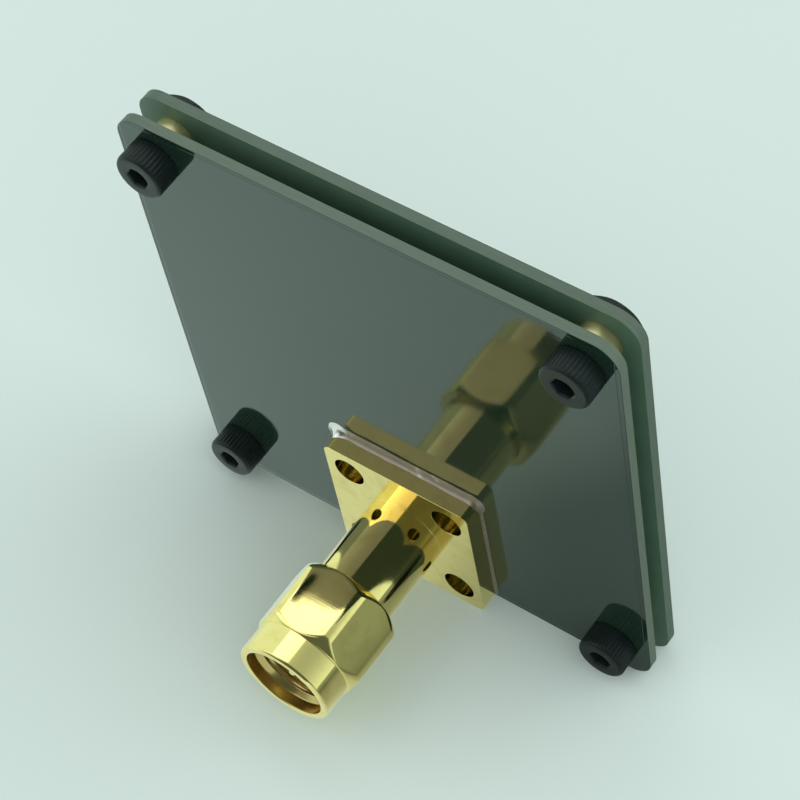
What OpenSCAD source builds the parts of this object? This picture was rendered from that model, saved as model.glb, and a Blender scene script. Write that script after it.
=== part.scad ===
// Patch antenna with a coaxial plug: two square boards on corner spacers, fed by a flanged plug whose
// coupling nut turns freely. Lengths are in millimetres. The origin is the centre of the coupling nut's
// mouth. The plug's axis is the Y axis, and the boards stand upright behind it, towards +Y.

/* [Boards] */
// Side of both square boards
board_side = 40; // [34:0.5:60]
// Radius of the boards' corners
board_corner_r = 2; // [0.5:0.25:4]
// Thickness of each board
board_t = 0.8; // [0.6:0.1:1.6]
// Space between the boards, which is the spacers' length
board_gap = 1.6; // [1.2:0.1:4]

/* [Corner fasteners] */
// Distance of each screw from the two board edges beside it
screw_inset = 3; // [2.6:0.1:5]
// Outer diameter of the screws' thread
screw_d = 2; // [1.6:0.1:2.4]
// Radial room of the screws in the boards and spacers
screw_room = 0.1; // [0.05:0.05:0.3]
// Length of screw past the nuts
screw_past = 0.4; // [0.2:0.1:3]
// Chamfer round the screws' tips
screw_tip_chamfer = 0.25; // [0.1:0.05:0.4]
// Diameter of the screw heads
head_d = 3.8; // [3.4:0.1:4.6]
// Height of the screw heads
head_h = 2; // [1.6:0.1:3]
// Chamfer round the top of the screw heads
head_chamfer = 0.2; // [0.1:0.05:0.4]
// Width across flats of the hex sockets
socket_af = 1.5; // [1.3:0.1:2]
// Depth of the hex sockets
socket_depth = 1; // [0.6:0.1:1.4]
// Outer diameter of the spacers
spacer_d = 3.2; // [3:0.1:5]
// Width across flats of the nuts
nut_af = 4; // [3.6:0.1:5]
// Thickness of the nuts
nut_t = 1; // [0.8:0.1:2]
// Chamfer of the nuts' corners, measured along the screw
nut_chamfer = 0.25; // [0.1:0.05:0.35]
// Angle by which the nuts are turned anticlockwise from flats up, as seen from the front
nut_turn = 10; // [0:1:60]

/* [Connector body] */
// Side of the square flange
flange_side = 12.7; // [12:0.1:16]
// Thickness of the flange
flange_t = 1.65; // [1.2:0.05:3]
// Radius of the flange's corners
flange_corner_r = 0.6; // [0.2:0.1:1.5]
// Height of the flange's lower edge above the boards' lower edge
flange_lift = 0; // [0:0.5:6]
// Diameter of the flange's four open holes
flange_hole_d = 2.6; // [2:0.1:3]
// Distance between neighbouring flange holes
flange_hole_pitch = 8.64; // [8:0.02:9]
// Diameter of the barrel
barrel_d = 6.35; // [6:0.05:6.6]
// Length of barrel that shows between the flange and the coupling nut
barrel_l = 7; // [3:0.1:14]
// Outer diameter of the sleeve that enters the mating socket
sleeve_d = 4.59; // [4.5:0.01:4.8]
// Length of the sleeve in front of its shoulder
sleeve_l = 2.4; // [1.6:0.1:2.8]

/* [Coupling nut] */
// Width across flats of the hex
hex_af = 8; // [7.8:0.05:10]
// Length of the hex
hex_l = 5.65; // [5:0.05:9]
// How far the hex corners are turned down
hex_corner_cut = 0.14; // [0.05:0.01:0.3]
// Chamfer at both ends of the hex, measured along the plug
hex_chamfer = 0.6; // [0.2:0.1:1]
// How far the round front rim is turned down inside the flats
rim_cut = 0.15; // [0.1:0.05:0.4]
// Length of the round front rim
rim_l = 2.45; // [1.5:0.05:5]
// Chamfer round the front of the rim
rim_chamfer = 0.15; // [0.05:0.05:0.3]
// Diameter of the plain lead-in at the mouth
mouth_d = 6.5; // [6.4:0.02:6.8]
// Depth of the plain lead-in
mouth_l = 0.9; // [0.5:0.05:1.4]
// Inner diameter of the thread
thread_d = 5.72; // [5.6:0.02:5.9]
// Length of the wide stretch behind the thread
relief_l = 1.7; // [1.3:0.1:2]
// Radial room round the body in that wide stretch
relief_room = 0.1; // [0.05:0.05:0.2]
// Thickness of the lip at the nut's back, which the retaining ring catches
lip_t = 0.9; // [0.5:0.1:1.4]
// Radial running room between the lip and the barrel
run_room = 0.05; // [0.02:0.01:0.1]

/* [Retaining ring and gasket] */
// Thickness of the retaining ring
ring_t = 0.5; // [0.3:0.05:0.6]
// Height of the ring above the barrel
ring_proud = 0.25; // [0.2:0.05:0.35]
// Depth of the ring's seat in the barrel
ring_seat = 0.45; // [0.3:0.05:0.6]
// Room round the ring in the seat and in the nut
ring_room = 0.05; // [0.02:0.01:0.1]
// Angle of the ring's split
ring_split = 40; // [10:5:90]
// Thickness of the gasket
gasket_t = 0.6; // [0.3:0.1:0.8]
// Room in front of the gasket and round it
gasket_room = 0.1; // [0.05:0.05:0.2]

/* [Centre contact] */
// Diameter of the insulator
dielectric_d = 4.12; // [3.9:0.02:4.2]
// Room between the pieces that are pressed together inside the plug
press_room = 0.01; // [0.005:0.005:0.03]
// Diameter of the front pin
pin_d = 0.92; // [0.8:0.02:1]
// Length of pin in front of the sleeve's end
pin_l = 2.2; // [1.4:0.1:2.6]
// Length of the pin's pointed tip
pin_tip_l = 0.3; // [0.1:0.05:0.6]
// Diameter of the flat end of the pin's tip
pin_tip_d = 0.45; // [0.2:0.05:0.7]
// Depth in the insulator at which the pin grows to its tail
pin_step = 0.6; // [0.3:0.1:1.5]
// Diameter of the pin's tail, which is the feed probe
tail_d = 1.27; // [1.1:0.01:1.6]
// Length of the tail past the rear board
tail_past = 0.7; // [0.6:0.1:1.5]
// Radial room of the tail and of the insulator in the boards
feed_room = 0.08; // [0.03:0.01:0.2]

/* [Patch] */
// Side of the square copper patch on the back of the rear board
patch_side = 22; // [18:0.5:25]
// Thickness of the patch with its mask
patch_t = 0.1; // [0.05:0.01:0.2]
// Width of the feed tab
tab_w = 3; // [2.8:0.1:5]
// Diameter of the round pad at the tab's end
pad_d = 3.6; // [3.4:0.1:5]

/* [Solder] */
// Width of the solder bead round the flange
bead_w = 0.45; // [0.3:0.05:0.8]
// Height of the solder bead up the flange
bead_h = 0.35; // [0.3:0.05:1.1]
// Distance that the solder bead keeps from the board's edge
bead_margin = 0.1; // [0.05:0.05:0.3]
// Width of the solder cone round the tail
cone_w = 0.8; // [0.4:0.1:1]
// Height of the solder cone up the tail
cone_h = 0.45; // [0.3:0.05:0.5]
// How far the face of the solder is hollowed, as a share of its width
solder_hollow = 0.15; // [0.05:0.01:0.2]

/* [Hidden] */
$fn = 64;
// How far a cutting solid runs past the face that it opens
cut = 1;
// How far inside the flats the chamfers of both kinds of nut end
face_cut = 0.06;
nut_l = rim_l + hex_l;
ring_groove_w = ring_t + 2 * ring_room;
ring_groove_y = nut_l - lip_t - ring_groove_w;
thread_end_y = ring_groove_y - relief_l;
gasket_y = thread_end_y + gasket_room;
shoulder_y = gasket_y + gasket_t;
sleeve_y = shoulder_y - sleeve_l;
pin_y = sleeve_y - pin_l;
flange_y = nut_l + barrel_l;
front_board_y = flange_y + flange_t;
rear_board_y = front_board_y + board_t + board_gap;
back_y = rear_board_y + board_t;
screw_l = back_y - front_board_y + nut_t + screw_past;
screw_hole_d = screw_d + 2 * screw_room;
board_centre_z = board_side / 2 - flange_side / 2 - flange_lift;
screw_reach = board_side / 2 - screw_inset;
patch_low_z = board_centre_z - patch_side / 2;

// Turns a shape made along Z so that Z becomes +Y, and starts it at a place on the plug's axis
module along_plug(y) {
  translate([0, y, 0]) rotate([-90, 0, 0]) children();
}

// Revolves a profile of [radius, y] points about the plug's axis
module turned(profile) {
  along_plug(0) rotate_extrude() polygon(profile);
}

// Raises an outline, drawn as seen from the front, into a plate between two places on the plug's axis
module plate(y, thickness) {
  translate([0, y + thickness, 0]) rotate([90, 0, 0]) linear_extrude(thickness) children();
}

// Cutting cylinder along the plug, through a wall that starts at y
module bore(d, y, length) {
  along_plug(y - cut) cylinder(d = d, h = length + 2 * cut);
}

// Moves a solid from the plug's axis to one corner's screw
module at_corner(side_x, side_z) {
  translate([side_x * screw_reach, 0, board_centre_z + side_z * screw_reach]) children();
}

// Repeats a solid at all four corners' screws
module at_corners() {
  for (side_x = [-1, 1], side_z = [-1, 1]) at_corner(side_x, side_z) children();
}

// Square outline with round corners, about its centre
module round_square(side, r) {
  square([side, side - 2 * r], center = true);
  square([side - 2 * r, side], center = true);
  for (sx = [-1, 1], sy = [-1, 1]) translate([sx * (side / 2 - r), sy * (side / 2 - r)]) circle(r);
}

// Hex bar along Y with two corners towards the sides
module hex_bar(af, y, length) {
  along_plug(y) cylinder(d = af / cos(30), h = length, $fn = 6);
}

// Section of a solder fillet in the corner of a face and a wall, with its surface hollowed by an arc
module fillet_section(w, h) {
  chord = sqrt(w * w + h * h);
  sag = solder_hollow * w;
  arc_r = (chord * chord / 4 + sag * sag) / (2 * sag);
  difference() {
    square([w, h]);
    translate([w / 2, h / 2] + (arc_r - sag) * [h, w] / chord) circle(arc_r);
  }
}

// Outline of both boards, or a smaller outline at an even distance inside it
module board_outline(inside = 0) {
  translate([0, board_centre_z]) round_square(board_side - 2 * inside, board_corner_r - inside);
}

// Board with its four screw holes and one hole for what comes through from the plug
module drilled_board(y, feed_hole_d) {
  difference() {
    plate(y, board_t) board_outline();
    at_corners() bore(screw_hole_d, y, board_t);
    bore(feed_hole_d, y, board_t);
  }
}

// Front board, with the plug's insulator through it
module ground_board() {
  color([0.13, 0.16, 0.15]) drilled_board(front_board_y, dielectric_d + 2 * feed_room);
}

// Rear board, with the feed probe through it
module patch_board() {
  color([0.10, 0.14, 0.12]) drilled_board(rear_board_y, tail_d + 2 * feed_room);
}

// Copper patch on the back of the rear board, with a tab down to the feed probe
module radiating_patch() {
  color([0.16, 0.19, 0.17])
  plate(back_y, patch_t) difference() {
    union() {
      translate([0, board_centre_z]) square(patch_side, center = true);
      translate([-tab_w / 2, 0]) square([tab_w, max(patch_low_z, 0) + tab_w]);
      circle(d = pad_d);
    }
    circle(d = tail_d + 2 * feed_room);
  }
}

// Plain brass tube that holds the boards apart round one screw
module spacer(side_x, side_z) {
  color([0.80, 0.65, 0.30])
  at_corner(side_x, side_z) difference() {
    along_plug(front_board_y + board_t) cylinder(d = spacer_d, h = board_gap);
    bore(screw_hole_d, front_board_y + board_t, board_gap);
  }
}

module spacer_top_left() { spacer(-1, 1); }
module spacer_top_right() { spacer(1, 1); }
module spacer_bottom_left() { spacer(-1, -1); }
module spacer_bottom_right() { spacer(1, -1); }

// Socket-head cap screw along Y, with its head's seat on the front board
module cap_screw() {
  head_y = front_board_y - head_h;
  tip_y = front_board_y + screw_l;
  difference() {
    turned([
      [0, head_y], [head_d / 2 - head_chamfer, head_y], [head_d / 2, head_y + head_chamfer],
      [head_d / 2, front_board_y], [screw_d / 2, front_board_y], [screw_d / 2, tip_y - screw_tip_chamfer],
      [screw_d / 2 - screw_tip_chamfer, tip_y], [0, tip_y]
    ]);
    hex_bar(socket_af, head_y - cut, socket_depth + cut);
  }
}

module corner_screws() {
  color([0.07, 0.08, 0.08]) at_corners() cap_screw();
}

// Thin hex nut with chamfered corners, on the back of the rear board
module thin_nut() {
  corner_r = nut_af / 2 / cos(30);
  face_r = nut_af / 2 - face_cut;
  end_y = back_y + nut_t;
  difference() {
    intersection() {
      hex_bar(nut_af, back_y, nut_t);
      turned([
        [0, back_y], [face_r, back_y], [corner_r, back_y + nut_chamfer], [corner_r, end_y - nut_chamfer],
        [face_r, end_y], [0, end_y]
      ]);
    }
    bore(screw_d + 2 * press_room, back_y, nut_t);
  }
}

module corner_nuts() {
  color([0.09, 0.10, 0.10]) at_corners() rotate([0, -nut_turn, 0]) thin_nut();
}

// Flange, barrel and sleeve in one piece, bored for the insulator and grooved for the retaining ring
module connector_body() {
  barrel_r = barrel_d / 2;
  seat_r = barrel_r - ring_seat;
  groove_end_y = ring_groove_y + ring_groove_w;
  color([0.86, 0.70, 0.28])
  difference() {
    union() {
      plate(flange_y, flange_t) difference() {
        round_square(flange_side, flange_corner_r);
        for (sx = [-1, 1], sz = [-1, 1])
          translate([sx, sz] * flange_hole_pitch / 2) circle(d = flange_hole_d);
      }
      turned([
        [0, sleeve_y], [sleeve_d / 2, sleeve_y], [sleeve_d / 2, shoulder_y], [barrel_r, shoulder_y],
        [barrel_r, ring_groove_y], [seat_r, ring_groove_y], [seat_r, groove_end_y], [barrel_r, groove_end_y],
        [barrel_r, front_board_y], [0, front_board_y]
      ]);
    }
    bore(dielectric_d + 2 * press_room, sleeve_y, front_board_y - sleeve_y);
  }
}

// Solder bead round the flange's edges, wherever the board reaches past them
module flange_solder() {
  reach = flange_side / 2 - flange_corner_r;
  color([0.78, 0.78, 0.76])
  intersection() {
    translate([0, front_board_y, 0]) rotate([90, 0, 0]) for (turn = [0 : 90 : 270]) rotate(turn) {
      translate([flange_side / 2, 0, 0]) rotate([90, 0, 0])
        linear_extrude(2 * reach, center = true) fillet_section(bead_w, bead_h);
      translate([reach, reach, 0])
        rotate_extrude(angle = 90) translate([flange_corner_r, 0]) fillet_section(bead_w, bead_h);
    }
    plate(front_board_y - bead_h, bead_h) board_outline(bead_margin);
  }
}

// White insulator from the sleeve's end to the back of the front board
module dielectric() {
  length = front_board_y + board_t - sleeve_y;
  color([0.94, 0.94, 0.91])
  difference() {
    along_plug(sleeve_y) cylinder(d = dielectric_d, h = length);
    bore(pin_d + 2 * press_room, sleeve_y, length);
    along_plug(sleeve_y + pin_step) cylinder(d = tail_d + 2 * press_room, h = length);
  }
}

// Centre contact: pointed front pin, and a thicker tail that runs to the patch
module centre_pin() {
  pin_r = pin_d / 2;
  step_y = sleeve_y + pin_step + press_room;
  tail_end_y = back_y + tail_past;
  color([0.88, 0.74, 0.34])
  turned([
    [0, pin_y], [pin_tip_d / 2, pin_y], [pin_r, pin_y + pin_tip_l], [pin_r, step_y], [tail_d / 2, step_y],
    [tail_d / 2, tail_end_y], [0, tail_end_y]
  ]);
}

// Solder cone that joins the tail to the patch's tab
module feed_solder() {
  color([0.78, 0.78, 0.76])
  along_plug(back_y + patch_t) rotate_extrude() translate([tail_d / 2, 0]) fillet_section(cone_w, cone_h);
}

// Split ring in the barrel's seat, which catches the coupling nut's lip
module retaining_ring() {
  inner_r = barrel_d / 2 - ring_seat + ring_room;
  color([0.80, 0.80, 0.78])
  along_plug(ring_groove_y + ring_room) rotate(ring_split / 2 - 90)
    rotate_extrude(angle = 360 - ring_split)
      translate([inner_r, 0]) square([barrel_d / 2 + ring_proud - inner_r, ring_t]);
}

// Soft sealing ring against the shoulder behind the sleeve
module gasket() {
  color([0.70, 0.26, 0.20])
  difference() {
    along_plug(gasket_y) cylinder(d = barrel_d - 2 * gasket_room, h = gasket_t);
    bore(sleeve_d + 2 * press_room, gasket_y, gasket_t);
  }
}

// Hex coupling nut: hex with turned-down corners, round rim, thread bore, ring groove and back lip
module coupling_nut() {
  face_r = hex_af / 2 - face_cut;
  corner_r = hex_af / 2 / cos(30) - hex_corner_cut;
  rim_r = hex_af / 2 - rim_cut;
  thread_r = thread_d / 2;
  mouth_r = mouth_d / 2;
  relief_r = barrel_d / 2 + relief_room;
  groove_r = barrel_d / 2 + ring_proud + ring_room;
  groove_end_y = ring_groove_y + ring_groove_w;
  lip_r = barrel_d / 2 + run_room;
  color([0.84, 0.68, 0.26])
  difference() {
    intersection() {
      hex_bar(hex_af, 0, nut_l);
      turned([
        [0, 0], [rim_r - rim_chamfer, 0], [rim_r, rim_chamfer], [rim_r, rim_l], [face_r, rim_l],
        [corner_r, rim_l + hex_chamfer], [corner_r, nut_l - hex_chamfer], [face_r, nut_l], [0, nut_l]
      ]);
    }
    turned([
      [0, -cut], [mouth_r, -cut], [mouth_r, mouth_l], [thread_r, mouth_l + mouth_r - thread_r],
      [thread_r, thread_end_y], [relief_r, thread_end_y], [relief_r, ring_groove_y],
      [groove_r, ring_groove_y], [groove_r, groove_end_y], [lip_r, groove_end_y], [lip_r, nut_l + cut],
      [0, nut_l + cut]
    ]);
  }
}

ground_board();
patch_board();
radiating_patch();
spacer_top_left();
spacer_top_right();
spacer_bottom_left();
spacer_bottom_right();
corner_screws();
corner_nuts();
connector_body();
flange_solder();
dielectric();
centre_pin();
feed_solder();
retaining_ring();
gasket();
coupling_nut();
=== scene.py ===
"""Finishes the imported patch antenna: fine pieces, materials, studio and camera.

The solids of the part are loaded as a fixed frame. Boards, spacers and the fixed pieces of the plug keep
their solids and get materials. The coupling nut, the corner screws and nuts and the solder are remade as
fine surfaces. Lengths are in metres. The plug's axis is the Y axis, and its mouth is at the origin.
"""

import math

import bmesh
import bpy
import numpy as np
from bpy.props import FloatProperty, FloatVectorProperty, IntProperty, PointerProperty
from bpy.types import Operator, Panel, PropertyGroup
from mathutils import Matrix, Vector


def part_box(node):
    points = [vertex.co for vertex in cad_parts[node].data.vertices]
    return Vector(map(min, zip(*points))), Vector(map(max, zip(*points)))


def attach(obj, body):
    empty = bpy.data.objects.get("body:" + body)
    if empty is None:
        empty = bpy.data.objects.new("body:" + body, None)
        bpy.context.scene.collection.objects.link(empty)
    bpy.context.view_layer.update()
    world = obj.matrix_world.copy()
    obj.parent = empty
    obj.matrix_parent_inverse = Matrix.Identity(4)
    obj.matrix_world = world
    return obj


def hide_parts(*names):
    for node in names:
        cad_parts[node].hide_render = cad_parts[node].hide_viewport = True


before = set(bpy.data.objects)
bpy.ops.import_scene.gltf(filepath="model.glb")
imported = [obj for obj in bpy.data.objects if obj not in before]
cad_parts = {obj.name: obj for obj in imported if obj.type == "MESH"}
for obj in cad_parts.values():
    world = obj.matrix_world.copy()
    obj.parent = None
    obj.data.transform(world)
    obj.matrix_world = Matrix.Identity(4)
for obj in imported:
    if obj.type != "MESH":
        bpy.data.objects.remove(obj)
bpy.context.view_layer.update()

bl_info = {
    "name": "Patch Antenna Finish",
    "version": (1, 0, 0),
    "blender": (4, 5, 0),
    "location": "3D View > Sidebar > Antenna",
    "description": "Adds fine pieces, materials and a studio to the packed patch antenna",
    "category": "Object",
}

# One millimetre in metres
MM = 0.001

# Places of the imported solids
FRONT_LOW, FRONT_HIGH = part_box("ground_board")
REAR_LOW, REAR_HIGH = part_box("patch_board")
PATCH_LOW, PATCH_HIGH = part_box("radiating_patch")
FLANGE_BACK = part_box("connector_body")[1].y
NUT_LOW, NUT_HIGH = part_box("coupling_nut")
SCREWS_LOW, SCREWS_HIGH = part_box("corner_screws")
CORNER_NUTS_LOW, CORNER_NUTS_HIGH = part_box("corner_nuts")
CONE_LOW, CONE_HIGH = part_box("feed_solder")

# Flats of a hexagon, with the angles of the first one's middle and from one to the next
HEX_FLATS = 6
FIRST_FLAT = math.pi / 2
FLAT_STEP = 2 * math.pi / HEX_FLATS

# How new meshes are cleaned: points this close are one, shorter edges go, and steeper edges stay sharp
MERGE_DISTANCE = 1e-7
SHORTEST_EDGE = 1e-8
SHARP_ANGLE = math.radians(32)


class BoardSettings(PropertyGroup):
    """Looks of the two printed boards."""

    copper_colour: FloatVectorProperty(
        name="Mask over copper", description="Colour of the glossy mask where copper lies under it",
        subtype="COLOR", default=(0.012, 0.029, 0.019))
    patch_colour: FloatVectorProperty(
        name="Patch colour", description="Colour of the mask over the patch", subtype="COLOR",
        default=(0.022, 0.042, 0.033))
    bare_colour: FloatVectorProperty(
        name="Mask over laminate", description="Colour of the glossy mask where no copper lies under it",
        subtype="COLOR", default=(0.009, 0.022, 0.015))
    inner_colour: FloatVectorProperty(
        name="Inner face colour", description="Colour of the bare laminate on the faces between the boards",
        subtype="COLOR", default=(0.096, 0.18, 0.117))
    front_edge_colour: FloatVectorProperty(
        name="Front edge colour", description="Colour of the bare laminate on the front board's edges",
        subtype="COLOR", default=(0.10, 0.137, 0.098))
    rear_edge_colour: FloatVectorProperty(
        name="Rear edge colour", description="Colour of the bare laminate on the rear board's edges",
        subtype="COLOR", default=(0.083, 0.12, 0.086))
    gloss_tint: FloatVectorProperty(
        name="Gloss tint", description="Tint of what the glossy mask mirrors", subtype="COLOR",
        default=(0.90, 1.0, 0.95))
    copper_margin: FloatProperty(
        name="Copper margin", description="Distance of the ground copper from the board's edge",
        unit="LENGTH", default=0.4 * MM)
    mask_thickness: FloatProperty(
        name="Mask thickness", description="Height of the mask that shows on the boards' edges",
        unit="LENGTH", default=0.05 * MM)
    weave_pitch: FloatProperty(
        name="Weave pitch", description="Distance between the glass cloth's threads", unit="LENGTH",
        default=0.5 * MM)


class PlugSettings(PropertyGroup):
    """Looks and fine sizes of the coaxial plug."""

    gold_colour: FloatVectorProperty(
        name="Gold colour", description="Colour of the gold plate", subtype="COLOR",
        default=(0.98, 0.79, 0.31))
    worn_colour: FloatVectorProperty(
        name="Dulled gold colour", description="Colour of the gold plate where it is dulled",
        subtype="COLOR", default=(0.80, 0.60, 0.20))
    # Painted shade: the darker brown of the gold inside the coupling nut stands for the shade in its bore.
    bore_shade_colour: FloatVectorProperty(
        name="Bore colour", description="Colour of the gold plate inside the coupling nut", subtype="COLOR",
        default=(0.62, 0.46, 0.18))
    insulator_colour: FloatVectorProperty(
        name="Insulator colour", description="Colour of the white insulator", subtype="COLOR",
        default=(0.82, 0.82, 0.78))
    gasket_colour: FloatVectorProperty(
        name="Gasket colour", description="Colour of the sealing ring", subtype="COLOR",
        default=(0.42, 0.07, 0.04))
    powder_colour: FloatVectorProperty(
        name="Powder colour", description="Colour of the powder on the sealing ring", subtype="COLOR",
        default=(0.55, 0.38, 0.34))
    ring_colour: FloatVectorProperty(
        name="Ring colour", description="Colour of the retaining ring", subtype="COLOR",
        default=(0.55, 0.53, 0.48))
    rim_length: FloatProperty(
        name="Rim length", description="Length of the nut's round front rim", unit="LENGTH",
        default=2.45 * MM)
    rim_radius: FloatProperty(
        name="Rim radius", description="Radius of the nut's round front rim", unit="LENGTH",
        default=3.85 * MM)
    rim_chamfer: FloatProperty(
        name="Rim chamfer", description="Chamfer round the front of the rim", unit="LENGTH",
        default=0.15 * MM)
    hex_chamfer: FloatProperty(
        name="Hex chamfer", description="Chamfer at both ends of the hex, along the plug", unit="LENGTH",
        default=0.6 * MM)
    face_radius: FloatProperty(
        name="Hex face radius", description="Radius at which the chamfers end", unit="LENGTH",
        default=3.94 * MM)
    mouth_radius: FloatProperty(
        name="Mouth radius", description="Radius of the nut's plain lead-in", unit="LENGTH",
        default=3.25 * MM)
    mouth_depth: FloatProperty(
        name="Mouth depth", description="Depth of the nut's plain lead-in", unit="LENGTH", default=0.9 * MM)
    thread_radius: FloatProperty(
        name="Thread radius", description="Inner radius of the nut's thread", unit="LENGTH",
        default=2.86 * MM)
    thread_end: FloatProperty(
        name="Thread end", description="Depth at which the thread ends", unit="LENGTH", default=4.9 * MM)
    thread_pitch: FloatProperty(
        name="Thread pitch", description="Pitch of the nut's thread", unit="LENGTH", default=0.7056 * MM)
    thread_depth: FloatProperty(
        name="Thread depth", description="Depth of the nut's thread", unit="LENGTH", default=0.33 * MM)
    relief_radius: FloatProperty(
        name="Relief radius", description="Radius of the wide stretch behind the thread", unit="LENGTH",
        default=3.275 * MM)
    groove_radius: FloatProperty(
        name="Groove radius", description="Radius of the groove for the retaining ring", unit="LENGTH",
        default=3.475 * MM)
    groove_start: FloatProperty(
        name="Groove start", description="Depth at which the ring groove starts", unit="LENGTH",
        default=6.6 * MM)
    groove_width: FloatProperty(
        name="Groove width", description="Width of the ring groove", unit="LENGTH", default=0.6 * MM)
    lip_radius: FloatProperty(
        name="Lip radius", description="Radius of the hole in the nut's back lip", unit="LENGTH",
        default=3.225 * MM)


class FastenerSettings(PropertyGroup):
    """Looks and fine sizes of the corner screws, nuts and spacers."""

    black_colour: FloatVectorProperty(
        name="Black colour", description="Colour of the blackened steel", subtype="COLOR",
        default=(0.005, 0.011, 0.010))
    steel_colour: FloatVectorProperty(
        name="Bare steel colour", description="Colour of the steel where its edges are worn",
        subtype="COLOR", default=(0.06, 0.06, 0.064))
    brass_colour: FloatVectorProperty(
        name="Brass colour", description="Colour of the brass spacers", subtype="COLOR",
        default=(1.0, 0.88, 0.46))
    head_radius: FloatProperty(
        name="Head radius", description="Radius of the screw heads", unit="LENGTH", default=1.9 * MM)
    head_chamfer: FloatProperty(
        name="Head chamfer", description="Chamfer round the top of the screw heads", unit="LENGTH",
        default=0.2 * MM)
    ribs: IntProperty(
        name="Ribs", description="Count of grip ribs round each screw head", default=36, min=12, max=72)
    rib_depth: FloatProperty(
        name="Rib depth", description="Depth of the grooves between the ribs", unit="LENGTH",
        default=0.07 * MM)
    socket_width: FloatProperty(
        name="Socket width", description="Width across flats of the hex sockets", unit="LENGTH",
        default=1.5 * MM)
    socket_depth: FloatProperty(
        name="Socket depth", description="Depth of the hex sockets", unit="LENGTH", default=1.0 * MM)
    screw_radius: FloatProperty(
        name="Screw radius", description="Outer radius of the screws' thread", unit="LENGTH",
        default=1.0 * MM)
    screw_pitch: FloatProperty(
        name="Screw pitch", description="Pitch of the screws' thread", unit="LENGTH", default=0.4 * MM)
    nut_width: FloatProperty(
        name="Nut width", description="Width across flats of the corner nuts", unit="LENGTH",
        default=4.0 * MM)
    nut_chamfer: FloatProperty(
        name="Nut chamfer", description="Chamfer of the nuts' corners, along the screw", unit="LENGTH",
        default=0.25 * MM)
    nut_turn: FloatProperty(
        name="Nut turn", description="Angle of the nuts from flats up, anticlockwise from the front",
        subtype="ANGLE", default=math.radians(10))


class SolderSettings(PropertyGroup):
    """Looks and fine sizes of the solder."""

    # Also the colour of the painted highlight at the flange's upper left corner.
    tin_colour: FloatVectorProperty(
        name="Tin colour", description="Colour of the bright solder", subtype="COLOR",
        default=(0.80, 0.77, 0.72))
    dull_colour: FloatVectorProperty(
        name="Dull tin colour", description="Colour of the dull patches of the solder", subtype="COLOR",
        default=(0.38, 0.32, 0.26))
    flange_half: FloatProperty(
        name="Flange half side", description="Half of the flange's side", unit="LENGTH", default=6.35 * MM)
    flange_corner: FloatProperty(
        name="Flange corner", description="Radius of the flange's corners", unit="LENGTH", default=0.6 * MM)
    bead_width: FloatProperty(
        name="Bead width", description="Width of the bead on the board", unit="LENGTH", default=0.45 * MM)
    bead_height: FloatProperty(
        name="Bead height", description="Height of the bead up the flange", unit="LENGTH", default=0.35 * MM)
    bead_margin: FloatProperty(
        name="Bead margin", description="Distance of the bead's ends from the board's edge", unit="LENGTH",
        default=0.1 * MM)
    tail_radius: FloatProperty(
        name="Tail radius", description="Radius of the feed probe", unit="LENGTH", default=0.635 * MM)


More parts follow.
